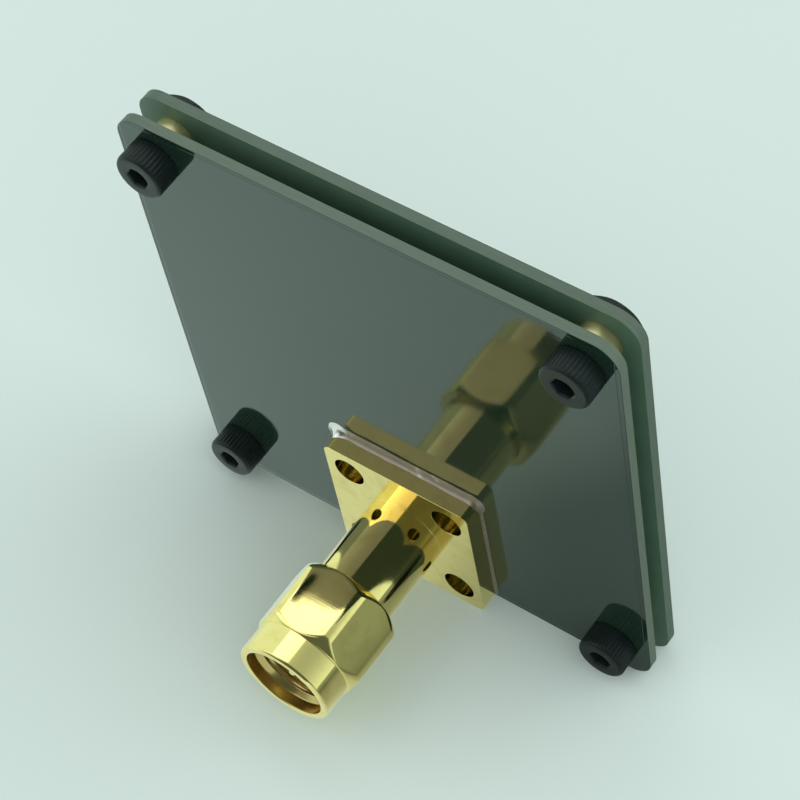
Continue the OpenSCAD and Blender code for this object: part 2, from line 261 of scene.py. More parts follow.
class StageSettings(PropertyGroup):
    """Floor, light and camera."""

    floor_colour: FloatVectorProperty(
        name="Floor colour", description="Colour of the floor", subtype="COLOR", default=(0.68, 0.80, 0.755))
    floor_half: FloatProperty(
        name="Floor half side", description="Half of the floor's side", unit="LENGTH", default=3.0)
    backdrop_colour: FloatVectorProperty(
        name="Backdrop colour", description="Colour of the backdrop behind the floor", subtype="COLOR",
        default=(0.70, 0.82, 0.775))
    # Also the painted light that shiny surfaces see glowing in the floor.
    bright_colour: FloatVectorProperty(
        name="Bright side colour", description="Colour of the room that shiny surfaces show",
        subtype="COLOR", default=(0.80, 1.0, 0.92))
    # Also the painted shade that shiny surfaces see in the floor near the part towards dim_side.
    dark_colour: FloatVectorProperty(
        name="Dark side colour", description="Colour of the room's dark side and of the dim floor near by",
        subtype="COLOR", default=(0.10, 0.13, 0.115))
    dark_side: FloatVectorProperty(
        name="Dark side", description="Direction of the room's dark side, in front and up",
        subtype="DIRECTION", default=(0.35, -0.75, 0.56))
    # Painted shade that shiny surfaces see in the floor far behind at the right.
    dim_colour: FloatVectorProperty(
        name="Dim floor colour", description="Colour of the mirrored floor far behind at the right",
        subtype="COLOR", default=(0.22, 0.29, 0.25))
    dim_side: FloatVectorProperty(
        name="Dim side", description="Direction in which the mirrored floor is dim, at the right",
        subtype="DIRECTION", default=(0.93, 0.37, 0.0))
    rear_side: FloatVectorProperty(
        name="Rear side", description="Direction in which the dim floor gets lighter, behind the boards",
        subtype="DIRECTION", default=(0.4, 0.9, 0.0))
    key_power: FloatProperty(
        name="Key power", description="Power of the large lamp at the left", unit="POWER", default=2.4)
    key_place: FloatVectorProperty(
        name="Key place", description="Where the large lamp at the left hangs", subtype="TRANSLATION",
        unit="LENGTH", default=(-0.55, -0.50, 0.80))
    key_size: FloatProperty(
        name="Key size", description="Side of the large lamp at the left", unit="LENGTH", default=1.0)
    top_power: FloatProperty(
        name="Top power", description="Power of the lamp overhead", unit="POWER", default=0.8)
    top_place: FloatVectorProperty(
        name="Top place", description="Where the lamp overhead hangs", subtype="TRANSLATION", unit="LENGTH",
        default=(-0.22, 0.30, 0.82))
    top_size: FloatProperty(
        name="Top size", description="Side of the lamp overhead", unit="LENGTH", default=0.55)
    lamp_aim: FloatVectorProperty(
        name="Lamp aim", description="Point that both lamps are turned to", subtype="TRANSLATION",
        unit="LENGTH", default=(0.0, 15 * MM, 10 * MM))
    light_colour: FloatVectorProperty(
        name="Light colour", description="Colour of the room's light", subtype="COLOR",
        default=(0.97, 1.0, 1.0))
    room_light: FloatProperty(
        name="Room light", description="Strength of the room's light away from its strongest side",
        default=0.27)
    side_light: FloatProperty(
        name="Side light", description="Strength of the room's light at its strongest side", default=1.75)
    light_side: FloatVectorProperty(
        name="Light side", description="Direction from which the room's light is strongest, at the right",
        subtype="DIRECTION", default=(0.93, 0.1, 0.36))
    camera_place: FloatVectorProperty(
        name="Camera place", description="Where the camera stands", subtype="TRANSLATION", unit="LENGTH",
        default=(76.43 * MM, -56.83 * MM, 162.03 * MM))
    camera_aim: FloatVectorProperty(
        name="Camera aim", description="Point that the camera looks at", subtype="TRANSLATION",
        unit="LENGTH", default=(-0.34 * MM, 17.87 * MM, 12.99 * MM))
    camera_up: FloatVectorProperty(
        name="Camera up", description="Direction of the picture's upper edge", subtype="DIRECTION",
        default=(-0.4143, 0.7101, 0.5693))
    lens: FloatProperty(
        name="Lens", description="Focal length of the camera in millimetres", unit="CAMERA", default=118.0)
    nearest: FloatProperty(
        name="Nearest", description="Distance from which the camera sees things", unit="LENGTH",
        default=5 * MM)


class NodeTree:
    """Shader nodes that are added one at a time."""

    # Numbers of a mix node's sockets for its share, its two colours and its result
    MIX_SHARE, MIX_FIRST, MIX_SECOND, MIX_RESULT = 0, 6, 7, 2

    def __init__(self, owner):
        owner.use_nodes = True
        self.tree = owner.node_tree

    def fill(self, node, inputs):
        """Sets inputs by name or number, each from a plain value or from another node's output."""
        for key, value in inputs.items():
            if isinstance(value, bpy.types.NodeSocket):
                self.tree.links.new(value, node.inputs[key])
            else:
                node.inputs[key].default_value = value

    def node(self, kind, inputs=None, **options):
        """Adds a node with its options and inputs."""
        made = self.tree.nodes.new(kind)
        for option, value in options.items():
            setattr(made, option, value)
        self.fill(made, inputs or {})
        return made

    def math(self, operation, *values):
        """Result of one arithmetic step."""
        return self.node("ShaderNodeMath", dict(enumerate(values)), operation=operation).outputs[0]

    def vector(self, operation, *values):
        """Vector that one step of vector arithmetic gives."""
        made = self.node("ShaderNodeVectorMath", dict(enumerate(values)), operation=operation)
        return made.outputs["Vector"]

    def measure(self, operation, *values):
        """Number that one step of vector arithmetic gives, such as a length or a distance."""
        made = self.node("ShaderNodeVectorMath", dict(enumerate(values)), operation=operation)
        return made.outputs["Value"]

    def towards(self, direction, side):
        """Cosine of the angle between a direction and a side, or how far a place lies towards the side."""
        return self.measure("DOT_PRODUCT", direction, side)

    def spread(self, value, low, high, to_low=0.0, to_high=1.0):
        """Value carried from one range to another along a smooth step, held at both ends."""
        inputs = {"Value": value, "From Min": low, "From Max": high, "To Min": to_low, "To Max": to_high}
        return self.node("ShaderNodeMapRange", inputs, interpolation_type="SMOOTHSTEP").outputs[0]

    @staticmethod
    def colour(value):
        """A colour socket as it is, or a plain colour with its fourth number."""
        return value if isinstance(value, bpy.types.NodeSocket) else (*value, 1.0)

    def mix(self, share, first, second):
        """Colour between two colours."""
        colours = {self.MIX_FIRST: self.colour(first), self.MIX_SECOND: self.colour(second)}
        made = self.node("ShaderNodeMix", {self.MIX_SHARE: share, **colours}, data_type="RGBA")
        return made.outputs[self.MIX_RESULT]

    def vary(self, share, colour, start, end):
        """A plain colour times a factor that goes from start to end with the share."""
        return self.mix(share, [start * c for c in colour], [end * c for c in colour])

    def ray_shares(self):
        """One for rays from the camera, and one for mirrored and see-through rays, or nought."""
        rays = self.node("ShaderNodeLightPath").outputs
        mirrored = self.math("MAXIMUM", rays["Is Glossy Ray"], rays["Is Transmission Ray"])
        return rays["Is Camera Ray"], mirrored


class Finish(NodeTree):
    """A material whose nodes lead into its Principled shader."""

    def __init__(self, name):
        self.material = bpy.data.materials.new(name)
        super().__init__(self.material)
        self.shader = self.tree.nodes["Principled BSDF"]
        self.place = self.node("ShaderNodeTexCoord").outputs["Object"]

    def set(self, **sockets):
        """Sets inputs of the Principled shader, with underscores for the spaces in their names."""
        self.fill(self.shader, {name.replace("_", " "): value for name, value in sockets.items()})

    def stretched(self, x, y, z):
        """Object coordinates times a factor along each axis."""
        return self.node("ShaderNodeMapping", {"Vector": self.place, "Scale": (x, y, z)}).outputs[0]

    def noise(self, size, detail=2.0, rough=0.5, where=None):
        """Smooth noise whose largest patches are about size across."""
        inputs = {"Vector": where or self.place, "Scale": 1.0 / size, "Detail": detail, "Roughness": rough}
        return self.node("ShaderNodeTexNoise", inputs).outputs["Fac"]

    def streaks(self, across, along, detail, rough):
        """Noise drawn out into streaks, with so many patches to the metre across the Y axis and along it."""
        drawn = self.stretched(across, along, across)
        return self.noise(1.0, detail, rough, drawn)

    def wave(self, pitch, direction):
        """Sine bands with the given pitch along one axis. The texture's own pitch is pi / 10."""
        own_pitch = math.pi / 10
        inputs = {"Vector": self.place, "Scale": own_pitch / pitch, "Distortion": 0.0}
        return self.node("ShaderNodeTexWave", inputs, bands_direction=direction).outputs["Fac"]

    def soft_edge(self, radius):
        """Normal that is rounded near the piece's edges."""
        return self.node("ShaderNodeBevel", {"Radius": radius}, samples=6).outputs[0]

    def edge_share(self, rounded):
        """One on the piece's edges and nought elsewhere, by how far the rounded normal leaves the flat."""
        still_flat, full_edge = 0.995, 0.90
        flat = self.node("ShaderNodeNewGeometry").outputs["Normal"]
        return self.spread(self.towards(rounded, flat), still_flat, full_edge)

    def bump(self, height, distance, normal, strength):
        """Normal tilted by a height pattern of the given depth."""
        inputs = {"Height": height, "Distance": distance, "Normal": normal, "Strength": strength}
        return self.node("ShaderNodeBump", inputs).outputs[0]


def mask_finish(name, settings, edge_colour, copper_colour, low, high, copper_reach, inner_side):
    """Glossy mask over glass cloth on a board's outer face, and bare laminate on its edges and inner face.

    The distance from the board's middle plane along Y tells faces from edges, and the inner face lies
    towards inner_side, which is 1, -1 or 0 for none. Copper lies under the mask where the larger of the
    distances from the board's middle along X and Z is under copper_reach.
    """
    face_share, copper_slope = 0.4, 0.08 * MM
    cloth_height, copper_height = 0.10, 6.0
    laminate_roughness = 0.45
    finish = Finish(name)
    rounded = finish.soft_edge(radius=0.05 * MM)
    middle, half = (low + high) / 2, (high - low) / 2
    from_middle = finish.vector("SUBTRACT", finish.place, middle)
    offset = finish.vector("ABSOLUTE", from_middle)
    across, depth, up = finish.node("ShaderNodeSeparateXYZ", {0: offset}).outputs
    edge_end, face_start = half.y - settings.mask_thickness, half.y - face_share * settings.mask_thickness
    on_face = finish.spread(depth, edge_end, face_start)
    behind = finish.node("ShaderNodeSeparateXYZ", {0: from_middle}).outputs["Y"]
    inner = finish.spread(finish.math("MULTIPLY", behind, inner_side), edge_end, face_start)
    out = finish.math("MAXIMUM", across, up)
    copper = finish.spread(out, copper_reach, copper_reach + copper_slope, to_low=1.0, to_high=0.0)
    smudge = finish.noise(size=9 * MM, detail=4.0, rough=0.6)
    threads = [finish.wave(settings.weave_pitch, direction) for direction in "XZ"]
    cloth = finish.math("MULTIPLY", *threads)
    ripple = finish.noise(size=2.4 * MM)
    fibres = finish.streaks(across=500, along=14000, detail=3.0, rough=0.6)
    laminate = finish.vary(fibres, edge_colour, start=0.6, end=1.3)
    inner_face = finish.vary(fibres, settings.inner_colour, start=0.8, end=1.15)
    over_bare = finish.vary(smudge, settings.bare_colour, start=0.85, end=1.2)
    over_copper = finish.vary(smudge, copper_colour, start=0.85, end=1.2)
    faces = finish.mix(inner, finish.mix(copper, over_bare, over_copper), inner_face)
    face_roughness = finish.spread(smudge, 0.35, 0.75, to_low=0.045, to_high=0.10)
    bare = finish.math("MAXIMUM", inner, finish.math("SUBTRACT", 1.0, on_face))
    roughness = finish.math("MULTIPLY_ADD", bare, laminate_roughness, face_roughness)
    relief = finish.math("ADD", finish.math("MULTIPLY", cloth, cloth_height), ripple)
    height = finish.math("ADD", relief, finish.math("MULTIPLY", copper, copper_height))
    finish.set(Base_Color=finish.mix(on_face, laminate, faces), Roughness=roughness, IOR=1.58,
               Specular_Tint=finish.colour(settings.gloss_tint),
               Normal=finish.bump(height, distance=0.004 * MM, normal=rounded, strength=0.6))
    return finish.material


def gold_finish(name, settings, bore=0.0):
    """Polished gold plate with fine turning marks round the plug's axis and a few dulled patches.

    Inside the bore radius it is rougher and a darker brown, which is painted shade in the bore.
    Along its edges it is paler, partly rubbed wear and partly a painted edge highlight.
    """
    bore_end, plate_start = bore + 0.01 * MM, bore + 0.05 * MM
    bore_roughness, turning_roughness = 0.15, 0.04
    rub_and_highlight_gain, rub_and_highlight_lift = 1.06, 0.03
    finish = Finish(name)
    rounded = finish.soft_edge(radius=0.06 * MM)
    edges = finish.edge_share(rounded)
    turning = finish.streaks(across=120, along=15000, detail=3.0, rough=0.65)
    haze = finish.noise(size=1.6 * MM, detail=4.0, rough=0.6)
    from_axis = finish.measure("LENGTH", finish.stretched(1, 0, 1))
    inside = finish.spread(from_axis, bore_end, plate_start, to_low=1.0, to_high=0.0)
    dulled = finish.spread(haze, 0.45, 0.78, to_high=0.7)
    outside = finish.mix(dulled, settings.gold_colour, settings.worn_colour)
    # Painted shade: inside the bore the gold turns to the darker brown bore colour.
    plate = finish.mix(inside, outside, settings.bore_shade_colour)
    # Paler gold along every edge: partly rubbed wear, partly a painted edge highlight.
    rubbed_and_highlight = [min(1.0, rub_and_highlight_gain * c + rub_and_highlight_lift) for c in settings.gold_colour]
    polish = finish.spread(haze, 0.3, 0.75, to_low=0.02, to_high=0.07)
    plain = finish.math("MULTIPLY_ADD", inside, bore_roughness, polish)
    roughness = finish.math("MULTIPLY_ADD", turning, turning_roughness, plain)
    finish.set(Base_Color=finish.mix(edges, plate, rubbed_and_highlight), Metallic=1.0, Roughness=roughness,
               Normal=finish.bump(turning, distance=0.002 * MM, normal=rounded, strength=0.4))
    return finish.material


def black_finish(name, settings):
    """Blackened steel: oily black with a fine grain, and a little bare metal along the edges."""
    finish = Finish(name)
    rounded = finish.soft_edge(radius=0.05 * MM)
    grain = finish.noise(size=0.12 * MM, detail=4.0, rough=0.7)
    blotch = finish.noise(size=1.1 * MM, detail=3.0, rough=0.6)
    wear = finish.spread(blotch, 0.4, 0.65, to_low=0.15, to_high=0.8)
    worn = finish.math("MULTIPLY", finish.edge_share(rounded), wear)
    black = finish.vary(blotch, settings.black_colour, start=0.7, end=1.6)
    finish.set(Base_Color=finish.mix(worn, black, settings.steel_colour),
               Metallic=finish.spread(worn, 0.0, 1.0, to_high=0.7),
               Roughness=finish.spread(grain, 0.25, 0.75, to_low=0.30, to_high=0.46), IOR=1.33,
               Normal=finish.bump(grain, distance=0.006 * MM, normal=rounded, strength=0.7))
    return finish.material


def brass_finish(name, settings):
    """Turned brass with rings round the tube and a light stain."""
    finish = Finish(name)
    rounded = finish.soft_edge(radius=0.06 * MM)
    turning = finish.streaks(across=150, along=12000, detail=3.0, rough=0.6)
    stain = finish.noise(size=0.9 * MM, detail=3.0, rough=0.6)
    finish.set(Base_Color=finish.vary(stain, settings.brass_colour, start=1.0, end=0.72), Metallic=1.0,
               Roughness=finish.spread(turning, 0.2, 0.8, to_low=0.32, to_high=0.42),
               Normal=finish.bump(turning, distance=0.006 * MM, normal=rounded, strength=0.5))
    return finish.material


def solder_finish(name, settings):
    """Frozen solder: dull and finely crazed under a film of flux, bright in patches and in the blob at one
    flange corner, which is partly bright solder and partly a painted highlight.

    The bright share, and with it the painted highlight, falls from one to nought between 0.7 mm and 1.5 mm
    from that corner.
    """
    blob_highlight_core, blob_highlight_end = 0.7 * MM, 1.5 * MM
    finish = Finish(name)
    rounded = finish.soft_edge(radius=0.04 * MM)
    # Upper left flange corner, where the bright tin is partly a painted highlight.
    corner = (-settings.flange_half, FLANGE_BACK, settings.flange_half)
    from_corner = finish.measure("DISTANCE", finish.place, corner)
    blob = finish.spread(from_corner, blob_highlight_core, blob_highlight_end, to_low=1.0, to_high=0.0)
    patch = finish.noise(size=0.8 * MM, detail=4.0, rough=0.6)
    craze = finish.noise(size=0.1 * MM, detail=3.0, rough=0.7)
    bright_and_highlight = finish.math("MAXIMUM", blob, finish.spread(patch, 0.55, 0.8, to_high=0.6))
    height = finish.math("ADD", craze, patch)
    finish.set(Base_Color=finish.mix(bright_and_highlight, settings.dull_colour, settings.tin_colour), Metallic=1.0,
               Roughness=finish.spread(bright_and_highlight, 0.0, 1.0, to_low=0.42, to_high=0.2),
               Normal=finish.bump(height, distance=0.012 * MM, normal=rounded, strength=0.4))
    return finish.material


def insulator_finish(name, settings):
    """Waxy white insulator with faint turning marks."""
    finish = Finish(name)
    rounded = finish.soft_edge(radius=0.05 * MM)
    turning = finish.streaks(across=6000, along=300, detail=2.0, rough=0.5)
    cloud = finish.noise(size=0.7 * MM, detail=3.0)
    finish.set(Base_Color=finish.vary(cloud, settings.insulator_colour, start=1.0, end=0.88),
               Roughness=finish.spread(cloud, 0.3, 0.7, to_low=0.34, to_high=0.48), Subsurface_Weight=0.15,
               Subsurface_Radius=(0.4 * MM, 0.4 * MM, 0.35 * MM), Subsurface_Scale=1.0,
               Normal=finish.bump(turning, distance=0.006 * MM, normal=rounded, strength=0.5))
    return finish.material


def gasket_finish(name, settings):
    """Matt silicone with a fine moulded grain and a dusting of powder."""
    finish = Finish(name)
    rounded = finish.soft_edge(radius=0.05 * MM)
    grain = finish.noise(size=0.09 * MM, detail=3.0, rough=0.6)
    patches = finish.noise(size=0.5 * MM, detail=4.0, rough=0.7)
    powder = finish.spread(patches, 0.5, 0.8, to_high=0.35)
    finish.set(Base_Color=finish.mix(powder, settings.gasket_colour, settings.powder_colour),
               Roughness=finish.spread(grain, 0.2, 0.8, to_low=0.5, to_high=0.7),
               Normal=finish.bump(grain, distance=0.01 * MM, normal=rounded, strength=0.6))
    return finish.material


def ring_finish(name, settings):
    """Drawn spring wire with a fine mottle."""
    finish = Finish(name)
    rounded = finish.soft_edge(radius=0.05 * MM)
    mottle = finish.noise(size=0.2 * MM, detail=3.0, rough=0.6)
    finish.set(Base_Color=finish.vary(mottle, settings.ring_colour, start=1.0, end=0.75), Metallic=1.0,
               Roughness=finish.spread(mottle, 0.3, 0.7, to_low=0.25, to_high=0.4),
               Normal=finish.bump(mottle, distance=0.005 * MM, normal=rounded, strength=0.5))
    return finish.material


def floor_finish(name, settings):
    """Pale smooth floor with a barely visible mottle, which goes over into the room away from the part.

    The camera sees it turn into the backdrop between 70 mm and 400 mm from the plug's mouth. Shiny surfaces
    see it glow with painted light in the room's bright colour, in 0.45 of it at the part, which lightens the
    part's shadow there, and in all of it from 50 mm on. Towards dim_side the glow is painted shade in a dark
    colour instead from 13 mm on, and gets lighter between 20 mm and 70 mm towards rear_side.
    """
    backdrop_start, backdrop_end = 70 * MM, 400 * MM
    painted_glow_near, painted_glow_end = 0.45, 50 * MM
    dim_start, dim_end = 4 * MM, 13 * MM
    dim_cosine, dim_most = 0.9, 0.95
    lighter_start, lighter_end = 20 * MM, 70 * MM
    finish = Finish(name)
    mottle = finish.noise(size=30 * MM, detail=3.0)
    finish.set(Base_Color=finish.vary(mottle, settings.floor_colour, start=1.0, end=1.02),
               Roughness=finish.spread(mottle, 0.3, 0.7, to_low=0.42, to_high=0.5), IOR=1.45)
    reach = finish.measure("LENGTH", finish.place)
    outward = finish.vector("NORMALIZE", finish.place)
    camera, mirrored = finish.ray_shares()
    seen_far = finish.math("MULTIPLY", camera, finish.spread(reach, backdrop_start, backdrop_end))
    # Painted light: for shiny surfaces the floor glows, in 0.45 of it at the part, which lightens the part's
    # shadow in reflections.
    mirrored_far = finish.math("MULTIPLY", mirrored, finish.spread(reach, 0.0, painted_glow_end, to_low=painted_glow_near))
    # Painted shade: towards dim_side the glow turns to the dark colours near the part.
    dim_share = finish.spread(finish.towards(outward, settings.dim_side), 0.0, dim_cosine, to_high=dim_most)
    dim = finish.math("MULTIPLY", dim_share, finish.spread(reach, dim_start, dim_end))
    lighter = finish.spread(finish.towards(finish.place, settings.rear_side), lighter_start, lighter_end)
    dim_colour = finish.mix(lighter, settings.dark_colour, settings.dim_colour)
    shown = finish.mix(dim, settings.bright_colour, dim_colour)
    colour = finish.mix(camera, shown, settings.backdrop_colour)
    backdrop = finish.node("ShaderNodeEmission", {"Color": colour, "Strength": 1.0})
    far = finish.math("MAXIMUM", seen_far, mirrored_far)
    blend = finish.node("ShaderNodeMixShader", {0: far, 1: finish.shader.outputs[0], 2: backdrop.outputs[0]})
    finish.fill(finish.tree.nodes["Material Output"], {"Surface": blend.outputs[0]})
    return finish.material


def grid_faces(rows, columns, rows_close):
    """Quads between neighbouring rows and columns of a grid whose columns close on themselves."""
    row, column = np.meshgrid(np.arange(rows if rows_close else rows - 1), np.arange(columns), indexing="ij")
    below = (row + 1) % rows
    beside = (column + 1) % columns
    here, next_row = row * columns, below * columns
    corners = [here + column, here + beside, next_row + beside, next_row + column]
    return np.stack(corners, axis=-1).reshape(-1, 4)


def turned_points(theta, radius, depth):
    """Points at radius * (cos theta, sin theta) in X and Z, and at depth along Y."""
    return np.stack([radius * np.cos(theta), depth + 0 * theta, radius * np.sin(theta)], axis=-1)


def hex_radius(theta, apothem):
    """Distance from the axis to a hexagon's flats: apothem / cos(angle from the nearest flat's middle)."""
    from_middle = (theta - FIRST_FLAT + FLAT_STEP / 2) % FLAT_STEP - FLAT_STEP / 2
    return apothem / np.cos(from_middle)


def softer_least(first, second, blend):
    """Smaller of two radii with a rounded change-over.

    It is their mean less half of sqrt(difference^2 + blend^2).
    """
    return (first + second) / 2 - np.sqrt((first - second) ** 2 + blend ** 2) / 2


def hex_angles(apothem, corner_radius, per_flat, per_corner):
    """Angles round a hexagon with turned-down corners: even steps over each flat and over each corner's arc.

    A flat ends where apothem / cos(angle) reaches the corner radius.
    """
    end = math.acos(min(1.0, apothem / corner_radius))
    flat = np.linspace(-end, end, per_flat)
    corner = np.linspace(end, FLAT_STEP - end, per_corner + 1)[1:-1]
    sixth = np.concatenate([flat, corner])
    return (FIRST_FLAT + sixth + FLAT_STEP * np.arange(HEX_FLATS)[:, None]).ravel()


def sum_of_sines(x, rows):
    """Sum of size * sin(rate * x + start) over rows of size, rate and start."""
    return sum(size * np.sin(rate * x + start) for size, rate, start in rows)


def profile_rows(theta, corners):
    """Stacks profile corners, each a radius and a depth that may vary with the angle, into one array."""
    level = 0 * theta
    return np.stack([np.stack([radius + level, depth + level], axis=-1) for radius, depth in corners])


def eased(profile, reach, steps):
    """Rounds every corner p of an open profile by the curve (1 - t)^2 a + 2 t (1 - t) p + t^2 b.

    The points a and b lie reach away from p on the two sides, or under half of a shorter side. The reach is
    one length for all corners or an array with one for each.
    """
    side_share, no_length = 0.45, 1e-9

    def toward(other):
        side = other - profile
        length = np.linalg.norm(side, axis=-1, keepdims=True)
        return profile + side * np.minimum(reach / np.maximum(length, no_length), side_share)

    start = toward(np.concatenate([profile[:1], profile[:-1]]))
    stop = toward(np.concatenate([profile[1:], profile[-1:]]))
    t = np.linspace(0, 1, steps)[:, None, None]
    curve = (1 - t) ** 2 * start[:, None] + 2 * t * (1 - t) * profile[:, None] + t ** 2 * stop[:, None]
    return curve.reshape(-1, *profile.shape[1:])


def thread_rows(theta, start, stop, radius, depth, pitch, rows):
    """Rows of a right-hand thread between two depths along Y.

    The radius changes by depth times a flat-topped triangle wave of y / pitch + theta / (2 pi), which fades
    out over half a turn at both ends.
    """
    flat_share, fade_turns = 0.14, 0.5
    y = np.linspace(start, stop, rows)[:, None] + 0 * theta
    turn = (y / pitch + theta / (2 * math.pi)) % 1
    triangle = 1 - 2 * np.abs(turn - 0.5)
    wave = np.clip((triangle - flat_share) / (1 - 2 * flat_share), 0, 1)
    from_end = np.minimum(np.abs(y - start), np.abs(y - stop))
    fade = np.clip(from_end / (fade_turns * pitch), 0, 1)
    return np.stack([radius + depth * wave * fade, y], axis=-1)


def put_piece(name, shells, rows_close, material, body, node):
    """Makes one object from closed grids of points, as a fine surface that stands for a solid of the part.

    Points that fall together at a pole or a seam are merged, and faces are turned outwards.
    """
    points = np.concatenate([shell.reshape(-1, 3) for shell in shells])
    starts = np.cumsum([0] + [shell.shape[0] * shell.shape[1] for shell in shells[:-1]])
    faces = np.concatenate([
        grid_faces(*shell.shape[:2], rows_close) + start for shell, start in zip(shells, starts)])
    mesh = bpy.data.meshes.new(name)
    mesh.from_pydata(points.tolist(), [], faces.tolist())
    work = bmesh.new()
    work.from_mesh(mesh)
    bmesh.ops.remove_doubles(work, verts=work.verts, dist=MERGE_DISTANCE)
    bmesh.ops.dissolve_degenerate(work, edges=work.edges, dist=SHORTEST_EDGE)
    bmesh.ops.recalc_face_normals(work, faces=work.faces)
    work.to_mesh(mesh)
    work.free()
    mesh.polygons.foreach_set("use_smooth", np.ones(len(mesh.polygons), bool))
    mesh.set_sharp_from_angle(angle=SHARP_ANGLE)
    mesh.materials.append(material)
    piece = bpy.data.objects.new(name, mesh)
    bpy.context.scene.collection.objects.link(piece)
    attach(piece, body)
    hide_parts(node)


def dress(material, *nodes):
    """Gives solids of the part a better material."""
    for node in nodes:
        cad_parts[node].material_slots[0].material = material


def corner_places(low, high, half_width, half_height):
    """Centres of the four pieces of a corner group, from the group's box and one piece's half sizes."""
    left, right = low.x + half_width, high.x - half_width
    bottom, top = low.z + half_height, high.z - half_height
    return np.array([[left, 0, bottom], [right, 0, bottom], [left, 0, top], [right, 0, top]])


class ANTENNA_OT_boards(Operator):
    """Give both boards their glossy mask and laminate edges, and the patch its mask over copper"""

    bl_idname = "antenna.boards"
    bl_label = "Finish boards"

    def execute(self, context):
        settings = context.scene.antenna_boards
        ground_reach = (FRONT_HIGH.x - FRONT_LOW.x) / 2 - settings.copper_margin
        no_copper, all_copper = -MM, 2 * ground_reach
        front_edge, rear_edge = settings.front_edge_colour, settings.rear_edge_colour
        ground, patch = settings.copper_colour, settings.patch_colour
        front_mask = mask_finish("front_mask", settings, front_edge, ground, FRONT_LOW, FRONT_HIGH,
                                 ground_reach, inner_side=1)
        rear_mask = mask_finish("rear_mask", settings, rear_edge, ground, REAR_LOW, REAR_HIGH,
                                no_copper, inner_side=-1)
        patch_mask = mask_finish("patch_mask", settings, rear_edge, patch, PATCH_LOW, PATCH_HIGH,
                                 all_copper, inner_side=0)
        dress(front_mask, "ground_board")
        dress(rear_mask, "patch_board")
        dress(patch_mask, "radiating_patch")
        return {"FINISHED"}


class ANTENNA_OT_plug(Operator):
    """Give the plug's fixed pieces their gold, insulator, ring and gasket materials"""

    bl_idname = "antenna.plug"
    bl_label = "Finish plug"

    def execute(self, context):
        settings = context.scene.antenna_plug
        dress(gold_finish("plug_gold", settings), "connector_body", "centre_pin")
        dress(insulator_finish("white_insulator", settings), "dielectric")
        dress(ring_finish("spring_ring", settings), "retaining_ring")
        dress(gasket_finish("red_gasket", settings), "gasket")
        return {"FINISHED"}


class ANTENNA_OT_coupling_nut(Operator):
    """Make the hex coupling nut with its thread, ring groove and back lip"""

    bl_idname = "antenna.coupling_nut"
    bl_label = "Make coupling nut"

    def execute(self, context):
        settings = context.scene.antenna_plug
        corner_blend, mouth_bevel = 0.06 * MM, 0.06 * MM
        edge_round, hex_round = 0.05 * MM, 0.3 * MM
        apothem, corner = NUT_HIGH.z, NUT_HIGH.x
        front, back = NUT_LOW.y, NUT_HIGH.y
        theta = hex_angles(apothem, corner, per_flat=25, per_corner=6)
        hexagon = softer_least(hex_radius(theta, apothem), corner, corner_blend)
        slope = settings.hex_chamfer * (hexagon - settings.face_radius) / (corner - settings.face_radius)
        step = front + settings.rim_length
        lead_end = front + settings.mouth_depth + settings.mouth_radius - settings.thread_radius
        groove_end = settings.groove_start + settings.groove_width
        mouth_and_rim = [
            (settings.thread_radius, lead_end),
            (settings.mouth_radius, front + settings.mouth_depth),
            (settings.mouth_radius, front + mouth_bevel),
            (settings.mouth_radius + mouth_bevel, front),
            (settings.rim_radius - settings.rim_chamfer, front),
            (settings.rim_radius, front + settings.rim_chamfer),
            (settings.rim_radius, step),
            (settings.face_radius, step),
        ]
        flats = [
            (hexagon, step + slope),
            (hexagon, back - slope),
        ]
        lip_and_groove = [
            (settings.face_radius, back),
            (settings.lip_radius, back),
            (settings.lip_radius, groove_end),
            (settings.groove_radius, groove_end),
            (settings.groove_radius, settings.groove_start),
            (settings.relief_radius, settings.groove_start),
            (settings.relief_radius, settings.thread_end),
            (settings.thread_radius, settings.thread_end),
        ]
        wall = profile_rows(theta, mouth_and_rim + flats + lip_and_groove)
        reach = np.full((len(wall), 1, 1), edge_round)
        reach[len(mouth_and_rim):-len(lip_and_groove)] = hex_round
        thread = thread_rows(theta, settings.thread_end, lead_end, settings.thread_radius,
                             settings.thread_depth, settings.thread_pitch, rows=70)
        section = np.concatenate([eased(wall, reach, steps=6), thread])
        points = turned_points(theta, section[..., 0], section[..., 1])
        # Inside the mouth radius the nut's gold is painted shade, a darker brown.
        material = gold_finish("nut_gold", settings, settings.mouth_radius)
        put_piece("coupling_nut_threaded", [points], True, material, "coupling_nut", "coupling_nut")
        return {"FINISHED"}


